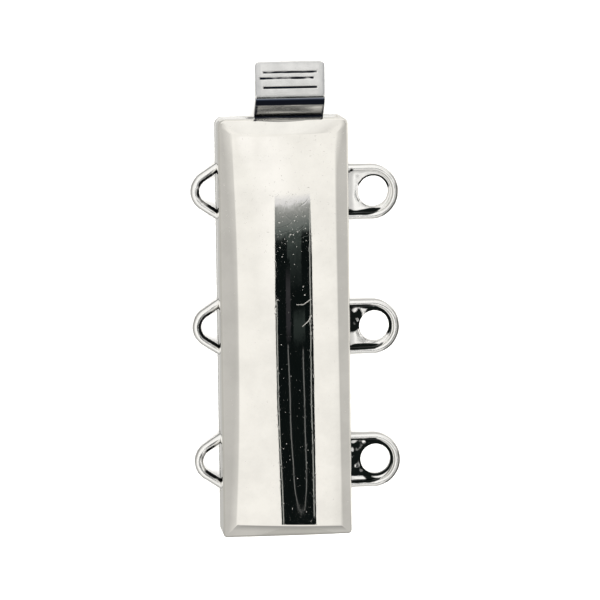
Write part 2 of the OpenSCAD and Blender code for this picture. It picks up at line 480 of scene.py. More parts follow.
def cover_profile(place):
    """Outer and inner points of the cover's section at one place, from the foot to the face."""
    foot = outline(place, HALF_W, HALF_LEN, CORNER_R, CORNER_R_LOW)
    ridge = ridge_place(place)
    inside = ridge_place(place, RIDGE_SOFT)
    guard = ridge_place(place, RIDGE_SOFT + RIDGE_GUARD)
    inner_foot = outline(place, IN_W, IN_LEN, IN_CORNER_R, IN_CORNER_R)
    span, inner_span = math.dist(foot, ridge), math.dist(inner_foot, inside)
    slope = math.atan2(face_z(*ridge) - WALL_H, span)
    turn = math.pi / 2 - slope
    r, inner_r = shoulder(place), IN_SHOULDER_R
    start = WALL_H - r * math.tan(turn / 2)
    inner_start = WALL_H - (SHEET + inner_r) * math.tan(turn / 2)

    def out_at(u, z):
        return (*lerp(foot, ridge, u / span), z)

    def in_at(u, z):
        return (*lerp(inner_foot, inside, u / inner_span), z)

    outer, inner = [], []
    for z in WALL_ROWS:
        z_out = z_in = z
        if z > OPEN_Z:
            z_out = min(z, start - 0.03)
            z_in = OPEN_Z + (z - OPEN_Z) * (inner_start - OPEN_Z) / (start - OPEN_Z)
        outer.append((*foot, z_out))
        inner.append((*inner_foot, min(z_in, inner_start - 0.02)))
    for k in range(ARC_STEPS + 1):
        a = turn * k / ARC_STEPS
        outer.append(out_at(r * (1 - math.cos(a)), start + r * math.sin(a)))
        inner.append(in_at(inner_r * (1 - math.cos(a)), inner_start + inner_r * math.sin(a)))
    arc_end, in_arc_end = r * (1 - math.cos(turn)), inner[-1]
    for k in range(1, BEVEL_STEPS + 1):
        u = arc_end + (span - RIDGE_SOFT - arc_end) * k / BEVEL_STEPS
        t = (u - arc_end) / (span - arc_end)
        outer.append(out_at(u, WALL_H + u * math.tan(slope) + BEVEL_BULGE * 4 * t * (1 - t)))
    a, b, c = outer[-1], (*ridge, face_z(*ridge)), (*inside, face_z(*inside))
    for k in range(1, SOFT_STEPS + 1):
        t = k / SOFT_STEPS
        outer.append(lerp(lerp(a, b, t), lerp(b, c, t), t))
    outer.append((*guard, face_z(*guard)))
    total = BEVEL_STEPS + SOFT_STEPS
    for k in range(1, total + 1):
        inner.append(lerp(in_arc_end, (*inside, face_z(*inside) - SHEET), k / total))
    inner.append((*guard, face_z(*guard) - SHEET))
    return outer, inner


def cover_open(places):
    """Says which cells of the cover's wall are cut away."""
    feet = [outline(p, HALF_W, HALF_LEN, CORNER_R, CORNER_R_LOW) for p in places]
    middles = [lerp(a, b, 0.5) for a, b in zip(feet, feet[1:] + feet[:1])]
    fillet_row = len(WALL_ROWS) + 2

    def is_open(i, j):
        x, y = middles[i]
        top = WALL_ROWS[j + 1] if j + 1 < len(WALL_ROWS) else 9.0
        if x < -IN_W and y > SLOT_Y and top <= SLOT_TOP + 1e-6:
            return True
        if y > IN_LEN and abs(x) < IN_W and top <= OPEN_Z + 1e-6:
            return True
        if y > IN_LEN and abs(x - TAB_MID) < NOTCH_HALF and j < fillet_row:
            return True
        clear = EYELET_HALF + SIDE_GAP
        near = any(abs(y - e) < clear for e in EYELETS.values())
        return x > IN_W and near and top <= RIM_H + SIDE_GAP + 1e-6

    return is_open


def edge_painted_shade(x, y, z):
    """How grey painted shade makes the cover's plate: a thin line under its shoulder, and the low
    bevel.
    """
    r = CORNER_R_LOW if y < 0 else CORNER_R
    corner_x = max(abs(x) - HALF_W + r, 0.0)
    corner_y = max(abs(y) - HALF_LEN + r, 0.0)
    inside = r - math.hypot(corner_x, corner_y)
    if inside < EDGE_W and z > EDGE_LOW_Z and (x > IN_W or y < -IN_LEN):
        return EDGE_SHADE
    return low_bevel_painted_shade(x, y) if z > EDGE_LOW_Z else 0.0


def low_bevel_painted_shade(x, y):
    """How grey painted shade makes the low end's bevel: darkest just under its ridge and along its
    foot.
    """
    from_end, from_side = y + HALF_LEN, HALF_W - abs(x)
    end_w, side_w = ridge_end(-1, x), ridge_side(math.copysign(1, x), y)
    if from_end > end_w + 0.02 or from_end * side_w > from_side * end_w:
        return 0.0
    line = LOW_RIDGE_SHADE * max(0.0, 1 - abs(end_w - from_end) / LOW_RIDGE_W)
    return max(line, LOW_FOOT_SHADE * below(from_end, LOW_FOOT_W, 0.06))


def face_grids(rims, xs, ys):
    """The face's outer and inner points, column by column, from where the bevels end."""
    outer, inner = [], []
    for x in xs:
        column = []
        for y in ys:
            left, right = rims["side", -1, y], rims["side", 1, y]
            low, top = rims["end", -1, x], rims["end", 1, x]
            px = mix(left[0][0], right[0][0], (x / STRAIGHT_X + 1) / 2)
            py = mix(low[0][1], top[0][1], (y / STRAIGHT_Y + 1) / 2)
            pair = (px, py, face_z(px, py)), (px, py, face_z(px, py) - SHEET)
            if x in (xs[0], xs[-1]):
                pair = left if x == xs[0] else right
            elif y in (ys[0], ys[-1]):
                pair = low if y == ys[0] else top
            column.append(pair)
        outer.append([pair[0] for pair in column])
        inner.append([pair[1] for pair in column])
    return outer, inner


def build_cover(material):
    """The cover: its wall and bevels all round, its face, and the painted grey shade lines on its
    plate.
    """
    places, xs, ys = stations()
    profiles = [cover_profile(p) for p in places]
    outer, inner = [p[0] for p in profiles], [p[1] for p in profiles]
    last = len(outer[0]) - 1
    sheet = Sheet()
    sheet.grid(
        outer, inner, cover_open(places), wrap=True,
        bare=lambda a, b: a[1] == last and b[1] == last,
    )
    rims = {place: (o[-1], i[-1]) for place, o, i in zip(places, outer, inner)}
    sheet.grid(*face_grids(rims, xs, ys), bare=lambda a, b: True)
    obj = sheet.build("cover_shell", material, bevel=0.03)
    tint(obj, "painted_shade", [edge_painted_shade(*p) for p in sheet.points])
    return obj


# Base and eyelets
def base_outline():
    """The base plate's outline: inside the cover's skirt, and flush with it at the slot."""
    x, y = IN_W - SEAM, IN_LEN - SEAM
    cx, cy = -STRAIGHT_X, STRAIGHT_Y
    pts = [(-x, -y), (x, -y), (x, HALF_LEN), (cx, HALF_LEN)]
    for turn in CORNER_TURNS:
        pts.append((cx - CORNER_R * math.sin(turn), cy + CORNER_R * math.cos(turn)))
    return pts + [(-HALF_W, cy), (-HALF_W, SLOT_Y + SEAM), (-x, SLOT_Y + SEAM)]


def slab(name, pts, low, high, material, bevel):
    """A flat plate with a softened edge, from its outline."""
    n = len(pts)
    points = [(x, y, low) for x, y in pts] + [(x, y, high) for x, y in pts]
    faces = [list(range(n))[::-1], list(range(n, 2 * n))]
    sharp = []
    for k in range(n):
        m = (k + 1) % n
        faces.append([k, m, n + m, n + k])
        sharp += [(k, m), (n + k, n + m)]
    return mesh_object(name, points, faces, material, sharp, bevel)


def ring_section(width, height, low, count=20, power=3.2):
    """A wire's section as (across, z) points: a rounded bar."""
    pts = []
    for k in range(count):
        a = 2 * math.pi * k / count
        c, s = math.cos(a), math.sin(a)
        x = math.copysign(abs(c) ** (2 / power), c) * width / 2
        z = math.copysign(abs(s) ** (2 / power), s) * height / 2
        pts.append((x, low + height / 2 + z))
    return pts


def sweep(path, section, wobble=0.0, seed=0.0):
    """A closed bar along a path of (x, y, heading) places, with a section of (across, z)."""
    points, faces = [], []
    n = len(section)
    for x, y, heading in path:
        nx, ny = math.sin(heading), -math.cos(heading)
        for a, z in section:
            p = Vector((x + nx * a, y + ny * a, z))
            if wobble:
                p += noise.noise_vector(p * 2.2 + Vector((seed, 0, 0))) * wobble
            points.append(tuple(p))
    for i in range(len(path) - 1):
        for k in range(n):
            m = (k + 1) % n
            faces.append([i * n + k, i * n + m, (i + 1) * n + m, (i + 1) * n + k])
    faces.append(list(range(n))[::-1])
    faces.append([(len(path) - 1) * n + k for k in range(n)])
    return points, faces


def eyelet_path(y0):
    """The middle line of an eyelet's rim: out, round and back."""
    half = EYELET_HALF - RIM_W / 2
    root, bend = EYELET_ROOT_X, EYELET_BEND_X
    reach = bend - root
    path = [(root + reach * k / 8, y0 - half, 0.0) for k in range(8)]
    for k in range(33):
        a = -math.pi / 2 + math.pi * k / 32
        path.append((bend + half * math.cos(a), y0 + half * math.sin(a), a + math.pi / 2))
    path += [(bend - reach * k / 8, y0 + half, math.pi) for k in range(1, 9)]
    return path


def web_edges(y0):
    """The web's two edges, as (x, y) places round it: just under the rim, and at the hole."""
    half = EYELET_HALF - RIM_W + WEB_TUCK
    cx, bend_x = HOLE_X, EYELET_BEND_X
    rim, hole = [], []
    for k in range(WEB_COUNT):
        a = 2 * math.pi * k / WEB_COUNT
        dx, dy = math.cos(a), math.sin(a)
        hole.append((cx + HOLE_R * dx, y0 + HOLE_R * dy))
        reaches = []
        if dy and cx + half / abs(dy) * dx <= bend_x:
            reaches.append(half / abs(dy))
        if dx < 0:
            reaches.append((HALF_W - WEB_ROOT - cx) / dx)
        ox = cx - bend_x
        t = -ox * dx + math.sqrt(max(0.0, (ox * dx) ** 2 - (ox * ox - half ** 2)))
        if cx + t * dx > bend_x:
            reaches.append(t)
        reach = min(reaches)
        rim.append((cx + reach * dx, y0 + reach * dy))
    return rim, hole


def web_rings(y0, seed, lean):
    """The dished web inside an eyelet's rim: rings of points from the rim to the strand hole."""
    rim, hole = web_edges(y0)

    def sink(x):
        return lean * (x - HOLE_X + HOLE_R)

    def scaled(share):
        return [lerp((HOLE_X, y0), p, share) for p in hole]

    rings = []
    for share in WEB_SHARES:
        dish = WEB_Z + WEB_TO_RIM * (1 - share) ** 3 + WEB_TO_HOLE * share
        ring = []
        for p, q in zip(rim, hole):
            x, y = lerp(p, q, share)
            lump = noise.noise(Vector((x * 1.9, y * 1.9, seed))) * WEB_LUMPS * (1 - share)
            wall = WEB_TO_WALL * max(0.0, 1 - (x - HALF_W) / WEB_WALL_W)
            ring.append((x, y, dish + lump + wall - sink(x)))
        rings.append(ring)
    for k in range(5):
        a = math.pi / 2 * k / 4
        edge = scaled(1 + HOLE_SOFT * (1 - math.sin(a)) / HOLE_R)
        z = WEB_T - HOLE_SOFT * (1 - math.cos(a))
        rings.append([(x, y, z - sink(x)) for x, y in edge])
    rings.append([(x, y, HOLE_SOFT) for x, y in hole])
    rings.append([(x, y, 0.0) for x, y in scaled(1.06)])
    rings.append([(x, y, 0.0) for x, y in rim])
    return rings


def rim_painted_shade(which, x, y, across):
    """How dark the painted shade on the inner side of an eyelet's rim is, from the middle of its
    hole, in mm.
    """
    end = RIM_DARK_TO[which][0 if y < 0 else 1]
    edge = mix(*RIM_DARK_EDGES, clamp((end - x) / RIM_TAPER))
    band = below(across, edge, 0.05) * below(x, end, 0.1)
    fleck = spot(x, y, HIGH_RIM_FLECK) if which == 2 else 0.0
    return max(band, fleck)


def web_painted_shade(which, x, y):
    """How dark the painted shade is at a place in an eyelet, from the middle of its hole, in mm.

    It lies round the hole within so many mm and degrees, at the foot, and in the corners.
    """
    at = Vector((x * 1.7, y * 1.7, 4.0 * which))
    patch = noise.noise(at * 1.6)
    nudge = noise.noise_vector(at) * 0.16
    beyond = math.hypot(x, y) - HOLE_R
    angle = math.degrees(math.atan2(y, x))
    x, y = x + nudge.x, y + nudge.y
    bright = max((spot(x, y, s) for s in UNSHADED_SPOTS[which]), default=0.0)
    web_half = EYELET_HALF - RIM_W
    foot = below(y, 0.15 - web_half, 0.1) * below(x, 0.45, 0.3)
    if which == 2:
        arc = below(beyond, 0.11, 0.05) * between(angle, 12, 158, 14)
        return max(arc, foot * 1.2, spot(x, y, (HALF_W - HOLE_X + 0.25, web_half, 0.2)))
    if which == 1:
        corner = below(x + 0.55 * y, -0.3, 0.3) * above(y - 0.5 * x, 0.35, 0.3) * (1 - bright)
        top = above(y, web_half - 0.2, 0.1) * below(x, 0.05, 0.3)
        wide = 0.15 + 0.14 * between(angle, 25, 100, 40)
        arc = below(beyond, wide, 0.06) * between(angle, -35, 125, 20)
        return max(corner * (1.05 + 0.4 * patch), arc, foot, 0.85 * top)
    ring = below(beyond, 0.15, 0.06)
    zone = max(below(x, -0.2, 0.4), between(angle, 10, 175, 20)) * (0.95 + 0.5 * patch)
    wedge = below(y, -0.98, 0.06) * below(x + 0.9 * y, -1.75, 0.1)
    return max(zone * (1 - bright) * (1 - wedge), ring, foot * (1 - wedge))


def rings_mesh(rings):
    """Points and faces of a closed surface through rings of points, joined to the first again."""
    n, m = len(rings[0]), len(rings)
    points = [p for ring in rings for p in ring]
    faces = []
    for i in range(m):
        k = (i + 1) % m
        for j in range(n):
            h = (j + 1) % n
            faces.append([i * n + j, k * n + j, k * n + h, i * n + h])
    return points, faces


def join(parts):
    """The points and faces of several meshes, as one."""
    points, faces = [], []
    for p, f in parts:
        base = len(points)
        points += p
        faces += [[base + i for i in face] for face in f]
    return points, faces


def build_eyelet(name, which, y0, seed, material):
    """An eyelet: its rounded rim, and the dished web with the strand hole, with painted shade."""
    section = ring_section(RIM_W, RIM_H, 0.0)
    path = eyelet_path(y0)
    rim = sweep(path, section, wobble=0.012, seed=seed)
    web = rings_mesh(web_rings(y0, seed, WEB_LEAN[which]))
    points, faces = join([rim, web])
    obj = mesh_object(name, points, faces, material)
    shade, painted_shade = [], [0.0] * len(points)
    for k, (across, z) in enumerate(section * len(path)):
        x, y, _ = points[k]
        darkening = rim_painted_shade(which, x - HOLE_X, y - y0, across)
        # Painted shade on the rim's inner side and over its lower half
        shade.append(max(darkening, 0.4 * below(z, 0.4, 0.2)))
        # Painted shade: a grey outer line on the rim, wider and darker round its outer, lower side
        turn = math.degrees(math.atan2(y - y0, x - EYELET_BEND_X))
        wear_and_shade = between(turn, -75, 30, 40)
        line = mix(OUTER_SHARE, SHADE_LINE_SHARE, wear_and_shade) * RIM_W / 2
        painted_shade[k] = mix(OUTER_SHADE, 1.0, wear_and_shade) * above(across, line, 0.02)
    for x, y, z in web[0]:
        # Painted shade over the web, and a dimmer painted shade on its underside
        dark = web_painted_shade(which, x - HOLE_X, y - y0) if z > 0.1 else 0.3
        shade.append(clamp(dark))
    tint(obj, "tarnish_and_shade", shade)
    tint(obj, "painted_shade", painted_shade)
    return obj


def build_base(material):
    """The box's base plate, and its three eyelets."""
    made = [slab("base_plate", base_outline(), 0.0, BASE_T, material, 0.05)]
    for k, (name, y0) in enumerate(EYELETS.items()):
        made.append(build_eyelet(name, k, y0, 3.7 * k + 1.3, material))
    return made


# Tongue
def loop_path(y0):
    """The middle line of a loop, out to its round tip and back."""
    r = LOOP_TIP_R - LOOP_STRIP / 2
    tip_x = (LOOP_HALF * math.cos(LOOP_ANGLE) - LOOP_TIP_R) / math.sin(LOOP_ANGLE)
    foot = (r + tip_x * math.sin(LOOP_ANGLE)) / math.cos(LOOP_ANGLE)
    start = (-HALF_W + LOOP_ROOT, y0 + foot + LOOP_ROOT * math.tan(LOOP_ANGLE))
    bend = (-HALF_W - tip_x - r * math.sin(LOOP_ANGLE), y0 + r * math.cos(LOOP_ANGLE))
    heading = math.pi + LOOP_ANGLE
    path = [(*lerp(start, bend, k / 6), heading) for k in range(6)]
    sweep_angle = math.pi - 2 * LOOP_ANGLE
    for k in range(25):
        a = heading + sweep_angle * k / 24
        path.append((-HALF_W - tip_x + r * math.sin(a), y0 - r * math.cos(a), a))
    end_heading = heading + sweep_angle
    low_start, low_bend = (start[0], 2 * y0 - start[1]), (bend[0], 2 * y0 - bend[1])
    path += [(*lerp(low_bend, low_start, k / 6), end_heading) for k in range(1, 7)]
    return path


def build_loop(name, y0, seed, material):
    """An open wire loop, with painted shade on its inner side and its underside."""
    section = ring_section(LOOP_STRIP, LOOP_T, TONGUE_Z)
    path = loop_path(y0)
    points, faces = sweep(path, section, wobble=0.014, seed=seed)
    obj = mesh_object(name, points, faces, material)
    shade, painted_shade = [], []
    for x, y, _ in path:
        patch = noise.noise(Vector((x * 1.1, y * 1.1, seed))) * 1.6 + 1.1
        for across, z in section:
            # Painted shade along the inner edge and under the wire
            inside = below(across, -0.095, 0.05) * clamp(patch)
            under = 0.7 * below(z, TONGUE_Z + 0.125, 0.15)
            shade.append(max(inside, under))
            # Painted shade: a grey outer line along the loop
            painted_shade.append(OUTER_SHADE if across > OUTER_SHARE * LOOP_STRIP / 2 else 0.0)
    tint(obj, "tarnish_and_shade", shade)
    tint(obj, "painted_shade", painted_shade)
    return obj


def build_tongue(material):
    """The sliding plate with its flange and guide rail, and its loops."""
    x, y = TONGUE_HALF, FOLD_Y + SEAM
    end, flange_end = HALF_LEN - SIDE_GAP, STRAIGHT_Y
    flange_x, rail_x = -HALF_W + FLANGE_INSET, -x + RAIL_W
    top = TONGUE_Z + STRIP_T
    plate = [
        (-x, y), (x, y), (x, end), (-x, end),
        (-x, flange_end), (flange_x, flange_end), (flange_x, FLANGE_Y), (-x, FLANGE_Y),
    ]
    rail = [(-x, FLANGE_Y), (rail_x, FLANGE_Y), (rail_x, CATCH[0]), (-x, CATCH[0])]
    made = [
        slab("tongue_plate", plate, TONGUE_Z, top, material, 0.04),
        slab("guide_rail", rail, top - 0.05, top + RAIL_H, material, 0.05),
    ]
    for k, (row, y0) in enumerate(ROWS.items()):
        made.append(build_loop(f"loop_{row}", y0, 5.1 * k, material))
    return made


# Spring leaf
def turned(at, angle, r, t):
    """The place after a bend of that angle, r being the radius of the strip's upper side."""
    y, z, h = at
    s, g = math.copysign(1, angle), h + angle * t
    return (y + s * r * (math.sin(g) - math.sin(h)), z - s * r * (math.cos(g) - math.cos(h)), g)


def leaf_line():
    """Places (y, z, heading) along the leaf's upper side, and the numbers of some of them."""
    places = []
    for k in range(13):
        a = math.pi * (1.5 - k / 12)
        y, z = FOLD_Y + FOLD_R * math.cos(a), FOLD_Z + FOLD_R * math.sin(a)
        places.append((y, z, a - math.pi / 2))
    root_slope = math.atan2(KINK[1] - LEAF_ROOT_Z, KINK[0] - FOLD_Y)
    tip_slope = math.atan2(CATCH[1] - KINK[1], CATCH[0] - KINK[0])
    kink = tip_slope - root_slope
    short = KINK_R * math.tan(kink / 2)
    at = (FOLD_Y, LEAF_ROOT_Z, root_slope)

    def run(length, count):
        nonlocal at
        y, z, h = at
        for k in range(1, count + 1):
            d = length * k / count
            places.append((y + d * math.cos(h), z + d * math.sin(h), h))
        at = places[-1]

    def bend(angle, r, count):
        nonlocal at
        start = at
        for k in range(1, count + 1):
            places.append(turned(start, angle, r, k / count))
        at = places[-1]

    run((KINK[0] - FOLD_Y) / math.cos(root_slope) - short, 24)
    bend(kink, KINK_R, 6)
    run((CATCH[0] - KINK[0]) / math.cos(tip_slope) - short, 8)
    catch = len(places) - 1
    run((HALF_LEN + SIDE_GAP - CATCH[0]) / math.cos(tip_slope), 12)
    bend(RAMP_ANGLE - tip_slope, RAMP_FOOT_R, 8)
    run(RAMP_LEN, 5)
    bend(-RAMP_ANGLE, RAMP_TOP_R, 14)
    plate = len(places) - 1
    y, z, h = at
    for d in sorted(tab_rows(), reverse=True):
        places.append((y + TAB_PLATE - d, z, h))
    return places, catch, plate


def tab_rows():
    """Distances from the tab's outer edge of the rows that its grooves need."""
    rows = {0.0, 0.05, 0.12, 0.22, 0.38, 1.15, 1.3, 1.7, 1.85}
    for g in GROOVES_AT:
        for share in (-1.3, -1, -0.7, -0.4, 0, 0.4, 0.7, 1, 1.3):
            rows.add(round(g + share * GROOVE_HALF_W, 4))
    return rows


def groove_depth(x, y, tab_end):
    """How deep the tab's top lies below its plane, in the grooves."""
    depth = 0.0
    for k, g in enumerate(GROOVES_AT):
        off = abs(tab_end - y - g) / GROOVE_HALF_W
        along = abs(x - TAB_MID - GROOVE_SHIFTS[k]) / GROOVE_HALF_LEN
        if off < 1 and along < 1:
            profile = math.cos(off * math.pi / 2) ** 0.7
            ends = min(1.0, (1 - along) / 0.03)
            ragged = noise.noise(Vector((x * 2.4, y * 5.0, 9.0 * k))) - 0.1
            wear_and_shade = GROOVE_WEAR[k] * (1 + GROOVE_RAGGED[k] * ragged)
            depth = max(depth, GROOVE_DEPTH * min(1.0, wear_and_shade) * profile * ends)
    return depth


def plate_painted_shade(off_middle, off_end):
    """How grey painted shade makes the tab's plate: a little all over, more towards its sides and
    its end.
    """
    side = PLATE_SIDE_SHADE * above(off_middle, TAB_HALF - 0.35, 0.2)
    edge = PLATE_EDGE_SHADE * above(off_middle, TAB_HALF - 0.06, 0.04)
    end = PLATE_END_SHADE * below(off_end, 0.14, 0.1)
    return max(PLATE_SHADE, side, edge, end)


def tab_pull(x, off_end):
    """Where a place across the tab comes to lie, on a plate whose outer corners are rounded."""
    short = max(0.0, TAB_CORNER - off_end)
    pull = TAB_CORNER - math.sqrt(max(0.0, TAB_CORNER ** 2 - short ** 2))
    return TAB_MID + (x - TAB_MID) * (TAB_HALF - pull) / TAB_HALF


def leaf_grids(xs, places, plate):
    """The strip's upper and lower points, column by column, with the grooves in its plate."""
    tab_end = places[-1][0]
    outer, inner = [], []
    for x in xs:
        column = []
        for k, (y, z, h) in enumerate(places):
            px, dip = x, 0.0
            if k > plate and abs(x - TAB_MID) <= TAB_HALF + 1e-6:
                px = tab_pull(x, tab_end - y)
            if k > plate:
                dip = groove_depth(px, y, tab_end)
            column.append([
                (px, y + depth * math.sin(h), z - depth * math.cos(h)) for depth in (dip, STRIP_T)
            ])
        outer.append([pair[0] for pair in column])
        inner.append([pair[1] for pair in column])
    return outer, inner


def leaf_tints(points, plate_y, tab_end, tab_z):
    """How dark and how grey the leaf is painted at its points: tarnish in the grooves, painted
    reflection on the ramp and the bend with the bend's blue, painted shade at the foot and on the
    plate.
    """
    ramp_low = HALF_LEN + SIDE_GAP
    bend_low, bend_high = [plate_y - d for d in BEND_DARK]
    blue_low, blue_high = [plate_y - d for d in BEND_BLUE]
    foot_low, foot_high = [HALF_LEN + d for d in FOOT_DARK]
    shade, painted_shade = [], []
    for x, y, z in points:
        off_middle = abs(x - TAB_MID)
        # Painted dark reflection on the bend, and a painted shade line at the foot by the box's
        # notch
        dark = [
            BEND_SHADE * between(y, bend_low, bend_high, 0.1),
            between(y, foot_low, foot_high, 0.04),
        ]
        # Painted reflection on the ramp, darker towards its sides
        if ramp_low < y < bend_low:
            side = above(off_middle, TAB_HALF - 0.12, 0.1)
            dark += [RAMP_SHADE, RAMP_SIDE_SHADE * side]
        # Painted blue-black reflection on the bend
        grey = between(y, blue_low, blue_high, 0.16)
        # Tarnish in the grooves, and painted shade greying the plate
        if z > tab_z - 0.2 and y > plate_y:
            groove = GROOVE_TARNISH * groove_depth(x, y, tab_end) / GROOVE_DEPTH
            dark.append(min(1.0, groove))
            grey = max(grey, plate_painted_shade(off_middle, tab_end - y))
        shade.append(max(dark))
        painted_shade.append(grey)
    return shade, painted_shade


def build_leaf(material):
    """The spring leaf: the folded strip, narrowed to the tab, with its grooves, their tarnish, and
    painted shade and reflection.
    """
    places, catch, plate = leaf_line()
    tab_end, tab_z, _ = places[-1]
    low, high = TAB_MID - TAB_HALF, TAB_MID + TAB_HALF
    ends = [
        TAB_MID + shift + GROOVE_HALF_LEN * s
        for shift in sorted(set(GROOVE_SHIFTS)) for s in (-1.02, -1, -0.97, 0.97, 1, 1.02)
    ]
    xs = steps(*LEAF_X, 0.14, [low, high] + ends)

    def is_open(i, j):
        return j >= catch and not low < (xs[i] + xs[i + 1]) / 2 < high

    sheet = Sheet()
    sheet.grid(*leaf_grids(xs, places, plate), is_open)
    obj = sheet.build("leaf_strip", material, bevel=0.05)
    shade, painted_shade = leaf_tints(sheet.points, places[plate][0], tab_end, tab_z)
    tint(obj, "tarnish_and_shade", shade)
    tint(obj, "painted_shade", painted_shade)
    return obj


# Materials
# Colours towards which painted shade greys the plating; the blue-black also serves the bend's
# painted reflection
GREY = (0.3, 0.3, 0.29)
DARK_GREY = (0.15, 0.15, 0.145)
BLUE_BLACK = (0.022, 0.042, 0.09)

# Where the cover's polish is worn: scratches from one place to another, as (x, y) in mm, and
# the stretch over which its specks grow denser towards the tab's end
MARKS = (
    ((0.571, 1.536), (0.953, 1.523)), ((0.953, 1.523), (1.405, 1.822)),
    ((0.909, 0.251), (1.26, 0.554)), ((1.26, 0.554), (1.424, 0.865)),
    ((-0.535, 1.848), (-0.52, 1.85)), ((-0.364, -0.791), (-0.35, -0.79)),
    ((0.972, 2.559), (0.98, 2.6)), ((0.472, 3.891), (0.48, 3.9)), ((0.409, 4.471), (0.42, 4.48)),
)
MARK_HALF_W = 0.042
SPECKS_Y = (3.5, 5.5)
WORN_ROUGH = 0.35

# How fine the surface's patterns are, as texture scales per metre
HAZE_SCALE = 420
GLOSS_SCALE = 900
TARNISH_SCALE = 2200
SPECK_SCALE = 7000
WAVE_SCALE = 650
SCRATCH_SCALE = 300


class Tree:
    """The nodes of a material or a world. Most methods add one and give back its output."""

    def __init__(self, owner):
        owner.use_nodes = True
        self.nodes, self.links = owner.node_tree.nodes, owner.node_tree.links

    def fill(self, node, inputs):
        """Links a node's inputs to other nodes' outputs, or sets them to plain values."""
        for label, value in inputs.items():
            if isinstance(value, bpy.types.NodeSocket):
                self.links.new(value, node.inputs[label])
            else:
                node.inputs[label].default_value = value

    def add(self, kind, inputs, output=0, **settings):
        node = self.nodes.new(kind)
        for label, value in settings.items():
            setattr(node, label, value)
        self.fill(node, inputs)
        return node.outputs[output]

    def place(self):
        return self.add("ShaderNodeTexCoord", {}, "Object")

    def part(self, vector, axis):
        return self.add("ShaderNodeSeparateXYZ", {"Vector": vector}, axis)

    def stored(self, label):
        """The number that tint() kept under a name."""
        return self.add("ShaderNodeAttribute", {}, "Fac", attribute_name=label)

    def maths(self, kind, a, b):
        return self.add("ShaderNodeMath", {0: a, 1: b}, operation=kind)

    def vector(self, kind, a, b):
        return self.add("ShaderNodeVectorMath", {0: a, 1: b}, operation=kind)

    def share(self, value, low, high, top=1.0):
        """How far a value has come from low to high, as 0 to the top."""
        limits = {"From Min": low, "From Max": high, "To Max": top}
        return self.add("ShaderNodeMapRange", {"Value": value, **limits})

    def cloud(self, place, scale, detail, roughness=0.6):
        looks = {"Scale": scale, "Detail": detail, "Roughness": roughness}
        return self.add("ShaderNodeTexNoise", {"Vector": place, **looks})

    def ramp(self, value, stops):
        """A colour that follows a value, through stops of (value, colour)."""
        node = self.nodes.new("ShaderNodeValToRGB")
        elements = node.color_ramp.elements
        for element, (at, colour) in zip(elements, (stops[0], stops[-1])):
            element.position = at
            element.color = (*colour, 1)
        for at, colour in stops[1:-1]:
            elements.new(at).color = (*colour, 1)
        self.fill(node, {"Fac": value})
        return node.outputs["Color"]

    def blend(self, share, a, b):
        """From one colour to a fixed one, by a share."""
        inputs = {"Factor": share, "A": a, "B": (*b, 1)}
        return self.add("ShaderNodeMix", inputs, "Result", data_type="RGBA")

    def bump(self, height, strength, distance, under=None):
        inputs = {"Height": height, "Strength": strength, "Distance": distance}
        if under:
            inputs["Normal"] = under
        return self.add("ShaderNodeBump", inputs)

    def shine(self, light):
        """Makes a light the whole material."""
        self.links.new(light, self.nodes.new("ShaderNodeOutputMaterial").inputs["Surface"])


def marked(tree, flat, a, b):
    """1 on the line between two places, in mm, down to 0 beyond half its width."""
    a, b = Vector((*a, 0)) * MM, Vector((*b, 0)) * MM
    along = b - a
    off = tree.vector("SUBTRACT", flat, a)
    reach = tree.add("ShaderNodeVectorMath", {0: off, 1: along}, "Value", operation="DOT_PRODUCT")
    share = tree.share(reach, 0.0, along.length_squared)
    nearest = tree.add("ShaderNodeVectorMath", {0: along, "Scale": share}, operation="SCALE")
    miss = tree.vector("SUBTRACT", off, nearest)
    distance = tree.add("ShaderNodeVectorMath", {0: miss}, "Value", operation="LENGTH")
    return tree.share(distance, MARK_HALF_W * MM, 0.0)


def wear(tree, place, marks, dust):
    """1 where the polish is worn dull: at small specks, and on the marks."""
    y_low, y_high = [y * MM for y in SPECKS_Y]
    more = tree.maths("MULTIPLY", tree.share(tree.part(place, "Y"), y_low, y_high), dust)
    wear_and_shade = tree.share(tree.maths("ADD", tree.cloud(place, SPECK_SCALE, 2), more), 0.7, 0.76)
    flat = tree.vector("MULTIPLY", place, (1, 1, 0))
    for a, b in marks:
        wear_and_shade = tree.maths("MAXIMUM", wear_and_shade, marked(tree, flat, a, b))
    return wear_and_shade


def relief(tree, place):
    """The surface's faint waves, with fine scratches over them."""
    waves = tree.bump(tree.cloud(place, WAVE_SCALE, 3, 0.5), 0.006, 0.0002)
    looks = {"Vector": place, "Scale": SCRATCH_SCALE, "Distortion": 30, "Detail": 2}
    wave = tree.add("ShaderNodeTexWave", looks, "Fac")
    lines = tree.ramp(wave, [(0.0, (0, 0, 0)), (0.03, (1, 1, 1))])
    return tree.bump(lines, 0.006, 0.00002, waves)


